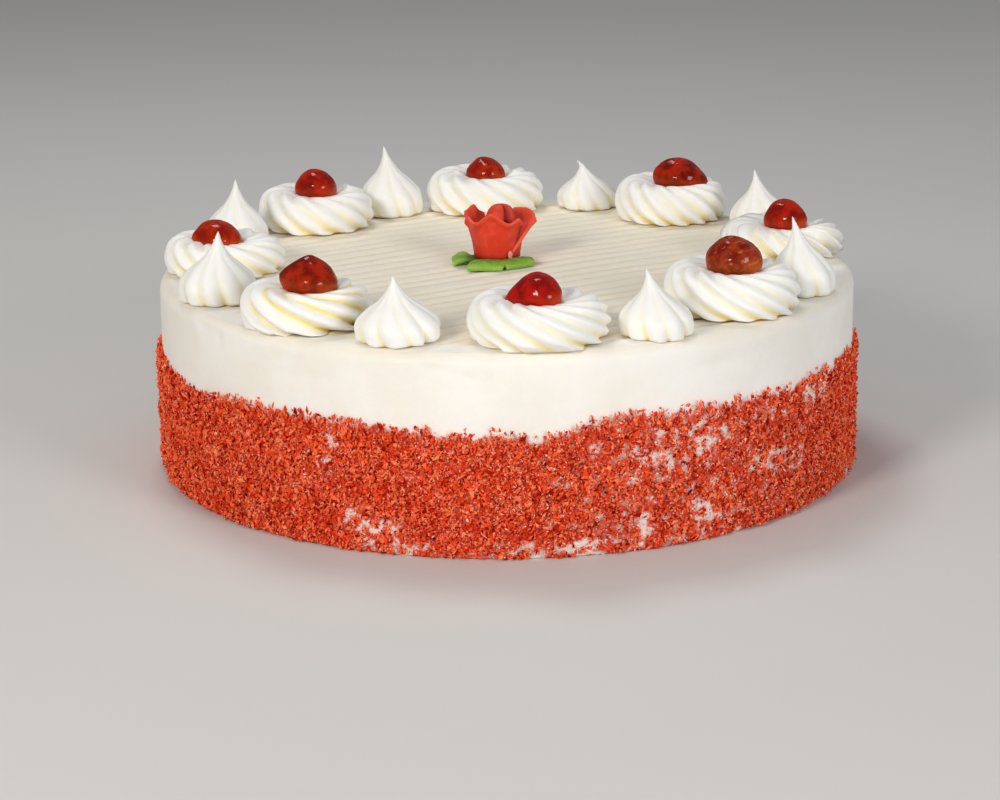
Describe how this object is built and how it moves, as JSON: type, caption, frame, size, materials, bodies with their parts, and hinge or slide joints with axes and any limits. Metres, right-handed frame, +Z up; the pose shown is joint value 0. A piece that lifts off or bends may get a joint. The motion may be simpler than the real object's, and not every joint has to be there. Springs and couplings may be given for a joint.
{
  "type": "red velvet cake",
  "caption": "A whole round frosted cake with red crumbs pressed round its side, a combed white top, piped rosettes holding glace cherries, piped kisses between them and a sugar rose on leaves.",
  "frame": {"origin": "middle of the underside of the cake, on the surface that it stands on", "axes": "+Z up, -Y towards the viewer of the picture, +X to that viewer's right"},
  "size_m": [0.2547, 0.2564, 0.0963],
  "materials": {
    "frosting": "smooth creamy frosting with red cake crumb pressed on the side",
    "piping": "soft piped cream, warm in its valleys",
    "crumb": "dry red cake crumb",
    "cherry": "glossy translucent glace cherry",
    "rose_paste": "matt coral red sugar paste",
    "leaf_paste": "matt green sugar paste"
  },
  "bodies": {
    "root": {"cake": "frosting", "rosette_1": "piping", "rosette_2": "piping", "rosette_3": "piping", "rosette_4": "piping", "rosette_5": "piping", "rosette_6": "piping", "rosette_7": "piping", "rosette_8": "piping", "cherry_1": "cherry", "cherry_2": "cherry", "cherry_3": "cherry", "cherry_4": "cherry", "cherry_5": "cherry", "cherry_6": "cherry", "cherry_7": "cherry", "cherry_8": "cherry", "kiss_1": "piping", "kiss_2": "piping", "kiss_3": "piping", "kiss_4": "piping", "kiss_5": "piping", "kiss_6": "piping", "kiss_7": "piping", "kiss_8": "piping", "rose_bud": "rose_paste", "rose_petal_front": "rose_paste", "rose_petal_left": "rose_paste", "rose_petal_right": "rose_paste", "rose_leaf_left": "leaf_paste", "rose_leaf_front": "leaf_paste", "rose_leaf_right": "leaf_paste"}
  },
  "joints": []
}
